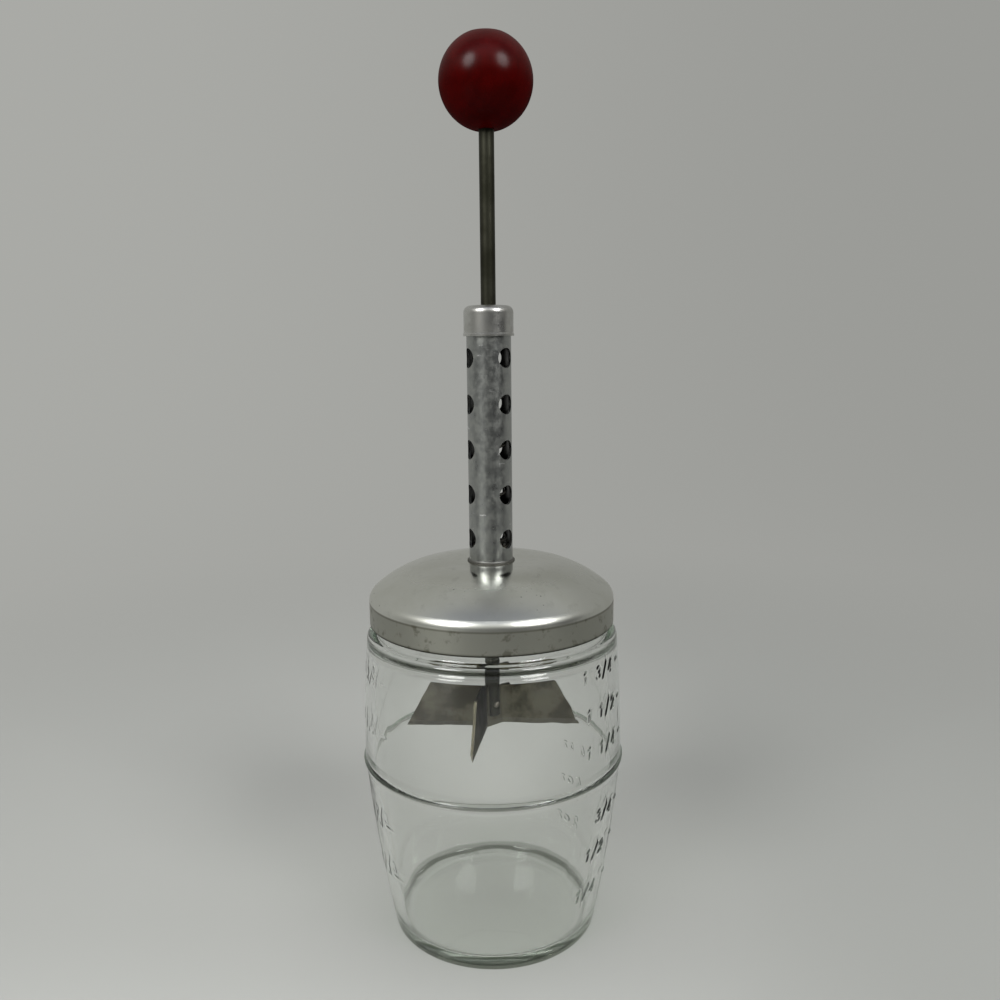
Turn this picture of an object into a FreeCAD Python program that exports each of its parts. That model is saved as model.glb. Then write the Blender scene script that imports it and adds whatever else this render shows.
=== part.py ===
import FreeCAD
import Part
import math
import os

# Spring-return nut chopper: graduated glass jar, screw lid, spring tube and plunger.
# Millimetres. The origin is the centre of the jar's foot, on the surface it stands on.
# +Z is up along the plunger. Angles round the jar start at its front, -Y, and grow towards +X.

# Glass jar
jar_height = 117.8
neck_height = 14.8
upper_side_height = 41.2
base_thickness = 4.0
glass_wall = 3.3
foot_r = 34.8
foot_round = 1.2
rest_ring_width = 4.9
kick_height = 1.0
floor_round = 1.8
belly_r = 43.5
lower_bulge = 0.8
upper_bulge = 0.3
shoulder_step = 4.0
shoulder_round = 1.8
neck_r = 37.7
neck_wall = 3.2
neck_fillet = 1.0
inner_shoulder_drop = 4.6
inner_shoulder_sweep = 60.0

# Cup scale, raised on the glass: quarters on one side, thirds on the other, a ring at one cup
cup_volume = 236588.0
quarter_scale_angle = 71.5
third_scale_angle = -54.5
mark_length = 3.0
mark_height = 0.8
mark_relief = 0.35
mark_root = 0.8
ring_tube_r = 0.62
ring_relief = 0.5

# Screw thread: one round bead on the neck, one rolled into the skirt
thread_lead = 5.08
jar_bead_r = 1.1
jar_bead_sink = 0.8
lid_bead_r = 0.95
lid_bead_sink = 0.45
thread_play = 0.25
lid_bead_rise = 1.4
lid_thread_turns = 0.75
jar_thread_turns = 0.88
jar_thread_lead_in = 0.05
thread_start_angle = 200.0

# Screw lid, drawn from sheet
lid_neck_gap = 2.2
lid_sheet = 0.6
lid_skirt = 7.8
lid_round = 4.0
lid_round_sweep = 48.5
dome_r = 36.0
hem_r = 0.5
seat_gap = 0.15

# Perforated spring tube and its foot flange
tube_r = 7.144
tube_wall = 0.8
tube_length = 80.45
tube_flange_width = 0.7
tube_flange_sheet = 0.3
vent_r = 3.15
vent_rows = 5
vent_first_height = 7.9
vent_last_drop = 14.2
vent_columns = 3
vent_first_angle = 50.4

# Tube cap
cap_sheet = 0.8
cap_height = 9.5
cap_round = 2.2
cap_lip = 0.22
cap_lip_height = 0.9

# Guide ferrule, pushed up through the lid into the tube
ferrule_flange_width = 4.15
ferrule_sheet = 0.8
ferrule_rise = 4.25
ferrule_round = 1.2

# Plunger
rod_r = 2.381
rod_chamfer = 0.4
guide_clearance = 0.06
stroke = 52.8
knob_r = 14.5
knob_face_width = 1.42
knob_top_r = 6.5
knob_bore_cover = 6.5

# Spring, washers and stop pin
wire_r = 0.45
spring_tube_clearance = 0.85
spring_turns = 11
end_turns = 1
end_coil_gap = 0.55
washer_sheet = 0.9
washer_wall_clearance = 0.4
washer_bore_clearance = 0.07
pin_r = 0.8
pin_end_gap = 1.55
face_gap = 0.05

# Blades: two bent plates, back to back in the rod's fork
blade_floor_gap = 11.6
blade_height = 16.3
blade_sheet = 0.9
blade_facing = 38.4
web_overhang = 1.0
wing_bend = 42.0
wing_bend_r = 1.2
wing_edge_length = 26.8
wing_top_length = 17.8
bevel_height = 1.8
bevel_land = 0.12
rod_end_above_edge = 3.4
fork_relief = 0.3
rivet_r = 0.8
rivet_head_r = 1.3
rivet_head_height = 0.9
rivet_head_seat = 0.45
rivet_end_distance = 4.2

# A coil's path is split into biarcs of this many turns, and cutters overshoot by the margin
COIL_STEP = 0.25
MARGIN = 2.0


def vec(x, y, z):
    return FreeCAD.Vector(x, y, z)


UP = vec(0, 0, 1)


def heading(degrees):
    """The horizontal direction at an angle round the jar, from its front."""
    angle = math.radians(degrees)
    return vec(math.sin(angle), -math.cos(angle), 0)


def bulged_circle(low, high, bulge):
    """Centre and radius of the circle through two (x, z) points that stands out by bulge."""
    run = math.dist(low, high)
    radius = (run * run / 4 + bulge * bulge) / (2 * bulge)
    depth = (radius - bulge) / run
    middle = ((low[0] + high[0]) / 2, (low[1] + high[1]) / 2)
    centre = (middle[0] - depth * (high[1] - low[1]), middle[1] + depth * (high[0] - low[0]))
    return centre, radius


def on_circle(circle, z):
    """The outer x of a circle at height z."""
    (x, middle_z), radius = circle
    return x + math.sqrt(radius * radius - (z - middle_z) ** 2)


def shrunk(circle, amount):
    return circle[0], circle[1] - amount


def pushed(centre, through, radius):
    """The point at radius from centre, in the direction of another point."""
    reach = math.dist(centre, through)
    return tuple(c + radius * (t - c) / reach for c, t in zip(centre, through))


class Outline:
    """A closed outline in the X-Z half plane, to be turned about Z."""

    def __init__(self, x, z):
        self.edges = []
        self.here = self.first = vec(x, 0, z)

    def line(self, x, z):
        end = vec(x, 0, z)
        self.edges.append(Part.LineSegment(self.here, end).toShape())
        self.here = end

    def arc(self, x, z, centre):
        """The short way round a circle about centre."""
        end = vec(x, 0, z)
        middle = vec(centre[0], 0, centre[1])
        outward = (self.here - middle).normalize() + (end - middle).normalize()
        crown = middle + outward.normalize() * (end - middle).Length
        self.edges.append(Part.Arc(self.here, crown, end).toShape())
        self.here = end

    def turned(self):
        if (self.here - self.first).Length > 1e-6:
            self.line(self.first.x, self.first.z)
        return Part.Face(Part.Wire(self.edges)).revolve(vec(0, 0, 0), UP, 360)


def arc_between(start, start_way, corner, end):
    """The arc that leaves start towards corner and ends at end, as far from the corner."""
    chord_middle = (start + end) / 2
    half_turn = (end - corner).getAngle(start_way) / 2
    weight = math.cos(half_turn)
    crown = (chord_middle + corner * weight) / (1 + weight)
    return Part.Arc(start, crown, end).toShape()


def biarc(start, start_way, end, end_way):
    """Two arcs that join two points along their given directions."""
    gap = end - start
    ways = start_way + end_way
    a = 4 - ways.dot(ways)
    b = 2 * gap.dot(ways)
    c = -gap.dot(gap)
    reach = (-b + math.sqrt(b * b - 4 * a * c)) / (2 * a)
    first_corner = start + start_way * reach
    second_corner = end - end_way * reach
    joint = (first_corner + second_corner) / 2
    way = (second_corner - first_corner).normalize()
    return [
        arc_between(start, start_way, first_corner, joint),
        arc_between(joint, way, second_corner, end),
    ]


def coil_point(mean_r, height_at, first_angle, turn):
    return heading(first_angle + 360 * turn) * mean_r + UP * height_at(turn)


def coil(mean_r, section_r, height_at, first_angle, turns):
    """A round bar wound about Z, whose height is a function of the turns wound so far."""
    steps = round(turns / COIL_STEP)
    step = turns / steps
    nudge = step / 50

    def point(turn):
        return coil_point(mean_r, height_at, first_angle, turn)

    def way(turn):
        return (point(turn + nudge) - point(turn - nudge)).normalize()

    edges = []
    for number in range(steps):
        a, b = number * step, (number + 1) * step
        edges += biarc(point(a), way(a), point(b), way(b))
    section = Part.Wire(Part.makeCircle(section_r, point(0), way(0)))
    pipe = Part.BRepOffsetAPI.MakePipeShell(Part.Wire(edges))
    pipe.add(section)
    pipe.build()
    pipe.makeSolid()
    return pipe.shape()


# The jar's outer side is two bulged circles that meet at the belly
shoulder_land_z = jar_height - neck_height
shoulder_z = shoulder_land_z - shoulder_round
shoulder_r = neck_r + shoulder_step
belly_z = shoulder_z - upper_side_height
inner_shoulder_z = shoulder_z - inner_shoulder_drop
lower_side = bulged_circle((foot_r, 0), (belly_r, belly_z), lower_bulge)
upper_side = bulged_circle((belly_r, belly_z), (shoulder_r, shoulder_z), upper_bulge)
lower_bore = shrunk(lower_side, glass_wall)
upper_bore = shrunk(upper_side, glass_wall)
rim_round = neck_wall / 2
mouth_r = neck_r - neck_wall

# The corner of the floor is a circle that touches the floor and the bore
floor_corner_z = base_thickness + floor_round
floor_corner = (on_circle(shrunk(lower_bore, floor_round), floor_corner_z), floor_corner_z)
floor_corner_top = pushed(lower_bore[0], floor_corner, lower_bore[1])

# The lid's dome rests on the jar's round rim
round_sweep = math.radians(lid_round_sweep)
lid_inner_r = neck_r + lid_neck_gap
lid_r = lid_inner_r + lid_sheet
dome_x = lid_r - lid_round + (lid_round - dome_r) * math.cos(round_sweep)
rim_centre = (neck_r - rim_round, jar_height - rim_round)
dome_reach = dome_r - lid_sheet - rim_round - seat_gap
dome_z = rim_centre[1] - math.sqrt(dome_reach**2 - (rim_centre[0] - dome_x) ** 2)
lid_spring_z = dome_z - (lid_round - dome_r) * math.sin(round_sweep)
skirt_z = lid_spring_z - lid_skirt
crown_z = dome_z + dome_r
crown_under_z = crown_z - lid_sheet

# What stands on the lid
tube_bore_r = tube_r - tube_wall
tube_top_z = crown_z + tube_length
cap_top_z = tube_top_z + cap_round
cap_under_z = cap_top_z - cap_sheet
cap_r = tube_r + cap_sheet
guide_r = rod_r + guide_clearance
ferrule_top_z = crown_z + ferrule_rise

# The plunger at rest, with its pin up against the cap
pin_z = cap_under_z - face_gap - pin_r
follower_z = pin_z - pin_r - face_gap - washer_sheet
seat_z = ferrule_top_z + face_gap
spring_low_z = seat_z + washer_sheet + face_gap
spring_high_z = follower_z - face_gap
washer_r = tube_bore_r - washer_wall_clearance
washer_bore_r = rod_r + washer_bore_clearance
coil_r = tube_bore_r - spring_tube_clearance - wire_r
knob_flat_r = rod_r + knob_face_width
knob_low_z = cap_top_z + stroke
knob_z = knob_low_z + math.sqrt(knob_r**2 - knob_flat_r**2)
knob_high_z = knob_z + math.sqrt(knob_r**2 - knob_top_r**2)
rod_top_z = knob_high_z - knob_bore_cover
edge_z = base_thickness + blade_floor_gap + stroke
blade_top_z = edge_z + blade_height
rod_low_z = edge_z + rod_end_above_edge
rivet_z = rod_low_z + rivet_end_distance
web_half_width = rod_r + web_overhang


def bore_radius(z):
    """The jar's inner radius at height z, from the floor to the inner shoulder."""
    if z < floor_corner_top[1]:
        return floor_corner[0] + math.sqrt(floor_round**2 - (z - floor_corner_z) ** 2)
    return on_circle(lower_bore if z < belly_z else upper_bore, z)


def fill_height(volume, slice_height=0.02):
    """The height to which a volume fills the jar."""
    filled = 0.0
    z = base_thickness
    while filled < volume:
        filled += math.pi * bore_radius(z + slice_height / 2) ** 2 * slice_height
        z += slice_height
    return z


def outer_radius(z):
    return on_circle(lower_side if z < belly_z else upper_side, z)


def scale_levels(shares_per_cup):
    """The heights of the even shares of a cup, up to the inner shoulder, but for whole cups."""
    levels = []
    count = 1
    z = fill_height(cup_volume / shares_per_cup)
    while z < inner_shoulder_z:
        if count % shares_per_cup:
            levels.append(z)
        count += 1
        z = fill_height(count * cup_volume / shares_per_cup)
    return levels


def scale_mark(z, angle):
    """A raised dash on the glass at a height."""
    depth = mark_root + mark_relief
    bar = Part.makeBox(depth, mark_length, mark_height)
    bar.translate(vec(outer_radius(z) - mark_root, -mark_length / 2, z - mark_height / 2))
    bar.rotate(vec(0, 0, 0), UP, angle - 90)
    return bar


def thread_height(turn):
    """The height of the lid's thread bead, by turns from its start."""
    return skirt_z + lid_bead_rise + thread_lead * turn


def make_glass_jar():
    foot_centre = (on_circle(shrunk(lower_side, foot_round), foot_round), foot_round)
    foot_side = pushed(lower_side[0], foot_centre, lower_side[1])
    kick_edge_r = foot_centre[0] - rest_ring_width
    kick_r = (kick_edge_r**2 + kick_height**2) / (2 * kick_height)
    jar = Outline(0, kick_height)
    jar.arc(kick_edge_r, 0, (0, kick_height - kick_r))
    jar.line(foot_centre[0], 0)
    jar.arc(*foot_side, foot_centre)
    jar.arc(belly_r, belly_z, lower_side[0])
    jar.arc(shoulder_r, shoulder_z, upper_side[0])

    jar.arc(shoulder_r - shoulder_round, shoulder_land_z, (shoulder_r - shoulder_round, shoulder_z))
    jar.line(neck_r + neck_fillet, shoulder_land_z)
    neck_foot_z = shoulder_land_z + neck_fillet
    jar.arc(neck_r, neck_foot_z, (neck_r + neck_fillet, neck_foot_z))
    jar.line(neck_r, rim_centre[1])
    jar.arc(rim_centre[0], jar_height, rim_centre)
    jar.arc(mouth_r, rim_centre[1], rim_centre)

    sweep = math.radians(inner_shoulder_sweep)
    inner_shoulder_r = on_circle(upper_bore, inner_shoulder_z)
    bend = (inner_shoulder_r - mouth_r) / (2 - 2 * math.cos(sweep))
    half_drop = bend * math.sin(sweep)
    mouth_end_z = inner_shoulder_z + 2 * half_drop
    jar.line(mouth_r, mouth_end_z)
    turning = ((mouth_r + inner_shoulder_r) / 2, inner_shoulder_z + half_drop)
    jar.arc(*turning, (mouth_r + bend, mouth_end_z))
    jar.arc(inner_shoulder_r, inner_shoulder_z, (inner_shoulder_r - bend, inner_shoulder_z))
    jar.arc(on_circle(lower_bore, belly_z), belly_z, upper_bore[0])
    jar.arc(*floor_corner_top, lower_bore[0])
    jar.arc(floor_corner[0], base_thickness, floor_corner)
    jar.line(0, base_thickness)
    glass = jar.turned()

    ring_z = fill_height(cup_volume)
    ring_centre_r = outer_radius(ring_z) + ring_relief - ring_tube_r
    raised = [Part.makeTorus(ring_centre_r, ring_tube_r, UP * ring_z)]
    raised += [scale_mark(z, quarter_scale_angle) for z in scale_levels(4)]
    raised += [scale_mark(z, third_scale_angle) for z in scale_levels(3)]
    raised.append(make_jar_thread())
    return glass.multiFuse(raised)


def make_jar_thread():
    """The bead on the neck lies just above the lid's, so that the lid's hooks under it."""
    jar_bead_centre_r = neck_r + jar_bead_r - jar_bead_sink
    lid_bead_centre_r = lid_inner_r - lid_bead_r + lid_bead_sink
    reach = jar_bead_r + lid_bead_r + thread_play
    rise = math.sqrt(reach**2 - (lid_bead_centre_r - jar_bead_centre_r) ** 2)
    low = rise - jar_thread_lead_in * thread_lead
    start = thread_start_angle - 360 * jar_thread_lead_in
    return coil(
        jar_bead_centre_r,
        jar_bead_r,
        lambda turn: thread_height(turn) + low,
        start,
        jar_thread_turns,
    )


def make_screw_lid():
    round_centre = (lid_r - lid_round, lid_spring_z)
    dome_centre = (dome_x, dome_z)
    hem_centre = (lid_r - hem_r, skirt_z + hem_r)
    hole_r = tube_bore_r

    def meeting(inset):
        """Where the skirt's round runs into the dome, on a face set in by inset."""
        radius = lid_round - inset
        return (
            round_centre[0] + radius * math.cos(round_sweep),
            round_centre[1] + radius * math.sin(round_sweep),
        )

    lid = Outline(lid_r, hem_centre[1])
    lid.line(lid_r, lid_spring_z)
    lid.arc(*meeting(0), round_centre)
    lid.arc(dome_x, crown_z, dome_centre)
    lid.line(hole_r, crown_z)
    lid.line(hole_r, crown_under_z)
    lid.line(dome_x, crown_under_z)
    lid.arc(*meeting(lid_sheet), dome_centre)
    lid.arc(lid_inner_r, lid_spring_z, round_centre)
    hem_top = math.sqrt(hem_r**2 - (lid_inner_r - hem_centre[0]) ** 2)
    lid.line(lid_inner_r, hem_centre[1] + hem_top)
    lid.arc(lid_r - 2 * hem_r, hem_centre[1], hem_centre)
    lid.arc(hem_centre[0], skirt_z, hem_centre)
    lid.arc(lid_r, hem_centre[1], hem_centre)
    bead_r = lid_inner_r - lid_bead_r + lid_bead_sink
    bead = coil(bead_r, lid_bead_r, thread_height, thread_start_angle, lid_thread_turns)
    return lid.turned().fuse(bead)


def make_guide_ferrule():
    shank_r = tube_bore_r
    inner_r = shank_r - ferrule_sheet
    ferrule = Outline(guide_r, ferrule_top_z)
    ferrule.line(shank_r - ferrule_round, ferrule_top_z)
    round_centre = (shank_r - ferrule_round, ferrule_top_z - ferrule_round)
    ferrule.arc(shank_r, ferrule_top_z - ferrule_round, round_centre)
    ferrule.line(shank_r, crown_under_z)
    ferrule.line(shank_r + ferrule_flange_width, crown_under_z)
    ferrule.line(shank_r + ferrule_flange_width, crown_under_z - ferrule_sheet)
    ferrule.line(inner_r, crown_under_z - ferrule_sheet)
    ferrule.line(inner_r, ferrule_top_z - ferrule_sheet)
    ferrule.line(guide_r, ferrule_top_z - ferrule_sheet)
    return ferrule.turned()


def make_spring_tube():
    tube_flange_r = tube_r + tube_flange_width
    flare_top_z = crown_z + tube_flange_sheet + tube_flange_width
    tube = Outline(tube_bore_r, crown_z)
    tube.line(tube_flange_r, crown_z)
    tube.line(tube_flange_r, crown_z + tube_flange_sheet)
    tube.arc(tube_r, flare_top_z, (tube_flange_r, flare_top_z))
    tube.line(tube_r, tube_top_z)
    tube.line(tube_bore_r, tube_top_z)
    vent_pitch = (tube_length - vent_first_height - vent_last_drop) / (vent_rows - 1)
    vents = []
    for row in range(vent_rows):
        z = crown_z + vent_first_height + row * vent_pitch
        for column in range(vent_columns):
            way = heading(vent_first_angle + column * 360 / vent_columns)
            vents.append(Part.makeCylinder(vent_r, tube_r + MARGIN, UP * z, way))
    return tube.turned().cut(vents)


def make_tube_cap():
    round_centre = (cap_r - cap_round, cap_top_z - cap_round)
    cap_low_z = cap_top_z - cap_height
    lip_z = cap_low_z + cap_lip_height
    cap = Outline(guide_r, cap_top_z)
    cap.line(round_centre[0], cap_top_z)
    cap.arc(cap_r, round_centre[1], round_centre)
    cap.line(cap_r, lip_z)
    cap.line(cap_r + cap_lip, lip_z - cap_lip)
    cap.line(cap_r + cap_lip, cap_low_z)
    cap.line(tube_r, cap_low_z)
    cap.line(tube_r, round_centre[1])
    cap.arc(round_centre[0], cap_under_z, round_centre)
    cap.line(guide_r, cap_under_z)
    return cap.turned()


def spring_height(turn):
    """Close-wound end coils and open working coils between them."""
    low = spring_low_z + wire_r
    high = spring_high_z - wire_r
    end_pitch = 2 * wire_r + end_coil_gap
    working_turns = spring_turns - 2 * end_turns
    working_pitch = (high - low - 2 * end_turns * end_pitch) / working_turns
    if turn < end_turns:
        return low + turn * end_pitch
    if turn > spring_turns - end_turns:
        return high - (spring_turns - turn) * end_pitch
    return low + end_turns * end_pitch + (turn - end_turns) * working_pitch


def make_return_spring():
    return coil(coil_r, wire_r, spring_height, vent_first_angle, spring_turns)


def spring_gap(samples=40):
    """The least gap between one coil of the spring and the next, measured on points."""
    points = [
        coil_point(coil_r, spring_height, vent_first_angle, number / samples)
        for number in range(spring_turns * samples + 1)
    ]
    half_turn = samples // 2
    nearest = min(
        (points[i] - points[j]).Length
        for i in range(len(points))
        for j in range(i + half_turn, min(i + 2 * samples, len(points)))
    )
    return nearest - 2 * wire_r


def make_washer(low_z):
    ring = Part.makeCylinder(washer_r, washer_sheet, UP * low_z)
    return ring.cut(Part.makeCylinder(washer_bore_r, washer_sheet, UP * low_z))


def make_stop_pin():
    reach = tube_bore_r - pin_end_gap
    return Part.makeCylinder(pin_r, 2 * reach, vec(-reach, 0, pin_z), vec(1, 0, 0))


def make_blade_rivet():
    """A round-headed rivet across the fork, square to the blades' webs, let into the rod."""
    axis = heading(blade_facing)
    middle = UP * rivet_z
    shank = Part.makeCylinder(rivet_r, 2 * rod_r, middle - axis * rod_r, axis)
    dome = (rivet_head_r**2 + rivet_head_height**2) / (2 * rivet_head_height)
    heads = []
    for way in (axis, axis * -1):
        seat = middle + way * (rod_r - rivet_head_seat)
        ball = Part.makeSphere(dome, seat + way * (rivet_head_height - dome))
        heads.append(ball.common(Part.makeCylinder(rivet_head_r, rivet_head_height, seat, way)))
    return shank.multiFuse(heads)


def make_plunger_rod(pin, rivet):
    rod = Outline(0, rod_low_z)
    rod.line(rod_r - rod_chamfer, rod_low_z)
    rod.line(rod_r, rod_low_z + rod_chamfer)
    rod.line(rod_r, rod_top_z - rod_chamfer)
    rod.line(rod_r - rod_chamfer, rod_top_z)
    rod.line(0, rod_top_z)
    fork_height = blade_top_z + fork_relief - rod_low_z + MARGIN
    fork = Part.makeBox(4 * rod_r, 2 * blade_sheet, fork_height)
    fork.translate(vec(-2 * rod_r, -blade_sheet, rod_low_z - MARGIN))
    fork.rotate(vec(0, 0, 0), UP, blade_facing)
    return rod.turned().cut([fork, pin, rivet])


def make_knob():
    knob = Outline(rod_r, knob_low_z)
    knob.line(knob_flat_r, knob_low_z)
    knob.arc(knob_top_r, knob_high_z, (0, knob_z))
    knob.line(0, knob_high_z)
    knob.line(0, rod_top_z)
    knob.line(rod_r, rod_top_z)
    return knob.turned()


def side_of_strip(route, bend_r, offset):
    """One face of a bent strip seen from above, as edges along a route of points."""
    edges = []
    first_way = (route[1] - route[0]).normalize()
    here = route[0] + UP.cross(first_way) * offset
    for before, corner, after in zip(route, route[1:], route[2:]):
        way_in = (corner - before).normalize()
        way_out = (after - corner).normalize()
        turn = way_in.getAngle(way_out)
        left = 1 if way_in.cross(way_out).z > 0 else -1
        tangent = bend_r * math.tan(turn / 2)
        bend_start = corner - way_in * tangent
        centre = bend_start + UP.cross(way_in) * (left * bend_r)
        start = bend_start + UP.cross(way_in) * offset
        end = corner + way_out * tangent + UP.cross(way_out) * offset
        crown_way = (corner - centre).normalize()
        crown = centre + crown_way * (start - centre).Length
        edges.append(Part.LineSegment(here, start).toShape())
        edges.append(Part.Arc(start, crown, end).toShape())
        here = end
    last_way = (route[-1] - route[-2]).normalize()
    finish = route[-1] + UP.cross(last_way) * offset
    edges.append(Part.LineSegment(here, finish).toShape())
    return edges, finish


def prism(points, way):
    return Part.Face(Part.makePolygon(points + points[:1])).extrude(way)


def make_blade(facing, rivet):
    """A plate with two wings, built facing the front and then turned to its place.

    Its back lies in the plane of the rod's axis. The wings bend away from that plane.
    """
    bend = math.radians(wing_bend)
    low = UP * edge_z
    corners = [vec(side * web_half_width, -blade_sheet / 2, 0) for side in (-1, 1)]
    ways = [vec(side * math.cos(bend), -math.sin(bend), 0) for side in (-1, 1)]
    tips = [corner + way * wing_edge_length for corner, way in zip(corners, ways)]
    route = [low + point for point in (tips[0], corners[0], corners[1], tips[1])]
    back, back_end = side_of_strip(route, wing_bend_r, blade_sheet / 2)
    front, front_end = side_of_strip(route, wing_bend_r, -blade_sheet / 2)
    ends = [
        Part.LineSegment(back_end, front_end).toShape(),
        Part.LineSegment(back[0].Vertexes[0].Point, front[0].Vertexes[0].Point).toShape(),
    ]
    outline = Part.Wire(Part.__sortEdges__(back + front + ends))
    plate = Part.Face(outline).extrude(UP * blade_height)

    waste = [rivet.rotated(vec(0, 0, 0), UP, -facing)]
    for side, corner, way in zip((-1, 1), corners, ways):
        normal = UP.cross(way) * side
        through = normal * (2 * MARGIN)
        root = low + corner - through / 2
        beyond = way * (wing_edge_length + MARGIN)
        top = UP * blade_height
        slope = [
            root + way * wing_edge_length,
            root + beyond,
            root + beyond + top,
            root + way * wing_top_length + top,
        ]
        waste.append(prism(slope, through))
        back_face = low + corner + normal * (blade_sheet / 2)
        across = normal * (bevel_land - blade_sheet)
        bevel_start = way * (2 * wing_bend_r)
        bevel = [
            back_face + bevel_start,
            back_face + bevel_start + across,
            back_face + bevel_start + UP * bevel_height,
        ]
        waste.append(prism(bevel, beyond))
    plate = plate.cut(waste)
    plate.rotate(vec(0, 0, 0), UP, facing)
    return plate


def make_parts():
    pin = make_stop_pin()
    rivet = make_blade_rivet()
    return {
        "glass_jar": make_glass_jar(),
        "screw_lid": make_screw_lid(),
        "guide_ferrule": make_guide_ferrule(),
        "spring_tube": make_spring_tube(),
        "tube_cap": make_tube_cap(),
        "seat_washer": make_washer(seat_z),
        "return_spring": make_return_spring(),
        "follower_washer": make_washer(follower_z),
        "stop_pin": pin,
        "plunger_rod": make_plunger_rod(pin, rivet),
        "knob": make_knob(),
        "blade_front_right": make_blade(blade_facing, rivet),
        "blade_back_left": make_blade(blade_facing + 180, rivet),
        "blade_rivet": rivet,
    }


os.makedirs("parts", exist_ok=True)
print("least gap between coils", round(spring_gap(), 3))
print("one cup fills to", round(fill_height(cup_volume), 2), "with the belly at", belly_z)
for name, shape in make_parts().items():
    shape.exportStep(f"parts/{name}.step")
    print(name, len(shape.Solids), "valid" if shape.isValid() else "INVALID", round(shape.Volume, 1))
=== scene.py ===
import math

import bpy
import numpy as np
from mathutils import Matrix, Vector


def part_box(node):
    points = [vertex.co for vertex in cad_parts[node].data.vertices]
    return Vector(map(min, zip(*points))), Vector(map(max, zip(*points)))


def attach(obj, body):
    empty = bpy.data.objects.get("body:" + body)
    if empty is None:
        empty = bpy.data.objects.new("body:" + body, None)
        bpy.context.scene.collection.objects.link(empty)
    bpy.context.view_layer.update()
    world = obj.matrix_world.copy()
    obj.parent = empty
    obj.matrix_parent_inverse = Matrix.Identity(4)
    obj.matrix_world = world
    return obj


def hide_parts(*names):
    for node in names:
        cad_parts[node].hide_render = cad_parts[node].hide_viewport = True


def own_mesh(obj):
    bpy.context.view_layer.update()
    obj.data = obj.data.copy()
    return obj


# Looks of a spring-return nut chopper: pressed-glass jar, spun lid, spring tube, plunger and blades.
# Metres. Angles round the jar start at its front, -Y, and grow towards +X.

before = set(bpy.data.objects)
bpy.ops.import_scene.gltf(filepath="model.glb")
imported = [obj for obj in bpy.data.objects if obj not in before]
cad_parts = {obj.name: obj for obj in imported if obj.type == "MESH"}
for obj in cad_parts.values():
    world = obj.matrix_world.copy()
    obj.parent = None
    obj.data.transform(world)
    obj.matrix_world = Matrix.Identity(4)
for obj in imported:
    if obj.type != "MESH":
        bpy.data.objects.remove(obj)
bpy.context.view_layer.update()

MM = 0.001
lid_low_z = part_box("screw_lid")[0].z
tube_low_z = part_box("spring_tube")[0].z
blade_low_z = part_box("blade_front_right")[0].z
knob_low, knob_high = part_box("knob")
spring_low, spring_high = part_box("return_spring")

# The jar's section, as the solid has it
jar_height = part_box("glass_jar")[1].z
neck_height = 14.8 * MM
upper_side_height = 41.2 * MM
base_thickness = 4.0 * MM
glass_wall = 3.3 * MM
foot_r = 34.8 * MM
foot_round = 1.2 * MM
rest_ring_width = 4.9 * MM
kick_height = 1.0 * MM
floor_round = 1.8 * MM
belly_r = 43.5 * MM
lower_bulge = 0.8 * MM
upper_bulge = 0.3 * MM
shoulder_step = 4.0 * MM
shoulder_round = 1.8 * MM
neck_r = 37.7 * MM
neck_wall = 3.2 * MM
neck_fillet = 1.0 * MM
inner_shoulder_drop = 4.6 * MM
inner_shoulder_sweep = math.radians(60)
bore_waviness = 0.05 * MM

# What is raised on the glass
cup_volume = 236588 * MM**3
ring_tube_r = 0.62 * MM
ring_relief = 0.5 * MM
quarter_tick_angle = 71.5
third_tick_angle = -54.5
third_end_angle = third_tick_angle - 5.0
ounce_end_angle = 139.0
tick_length = 3.0 * MM
tick_height = 0.8 * MM
tick_foot = 0.64 * MM
figure_height = 3.7 * MM
figure_relief = 0.34 * MM
figure_pitch = 3.9 * MM
figure_slant = 0.16
stroke_foot = 0.63 * MM
whole_gap = 2.6 * MM

# The thirds, on the left, are the most worn: these shares of the relief are left
third_figure_share = 0.3
third_tick_share = 0.4

# The thread bead on the neck
thread_lead = 5.08 * MM
thread_low_z = 108.89 * MM
thread_start = 182.0
thread_turns = 0.88
thread_taper = 9.0
thread_relief = 1.35 * MM
thread_foot = 1.755 * MM

# The spring: close end coils and open working coils
wire_r = 0.45 * MM
spring_clearance = 0.86 * MM
spring_turns = 11
end_turns = 1
end_pitch = 1.45 * MM
spring_start = 50.4
points_per_turn = 32

# Camera, fitted to the photograph
camera_place = Vector((0, -0.2940, 0.1964))
camera_pitch = math.radians(9.758)
camera_yaw = math.radians(0.6073)
camera_roll = math.radians(-0.55)
camera_lens = 32.69


class Sock:
    """A shader socket that takes part in Python expressions on numbers."""

    def __init__(self, paint, socket):
        self.paint = paint
        self.socket = socket

    def math(self, operation, *others):
        return self.paint.node("ShaderNodeMath", {"operation": operation}, [self, *others])

    def __add__(self, other):
        return self.math("ADD", other)

    __radd__ = __add__

    def __mul__(self, other):
        return self.math("MULTIPLY", other)

    __rmul__ = __mul__

    def __sub__(self, other):
        return self.math("SUBTRACT", other)

    def __rsub__(self, other):
        return self.paint.node("ShaderNodeMath", {"operation": "SUBTRACT"}, [other, self])

    def __truediv__(self, other):
        return self.math("DIVIDE", other)

    def __pow__(self, other):
        return self.math("POWER", other)

    def least(self, other):
        return self.math("MINIMUM", other)

    def most(self, other):
        return self.math("MAXIMUM", other)

    def also(self, name):
        """Another output of the same node."""
        return Sock(self.paint, self.socket.node.outputs[name])

    def ramp(self, low, high, to_low=0.0, to_high=1.0):
        """Goes smoothly from to_low to to_high as the value goes from low to high."""
        settings = {"interpolation_type": "SMOOTHSTEP"}
        return self.paint.node("ShaderNodeMapRange", settings, [self, low, high, to_low, to_high])


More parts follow.
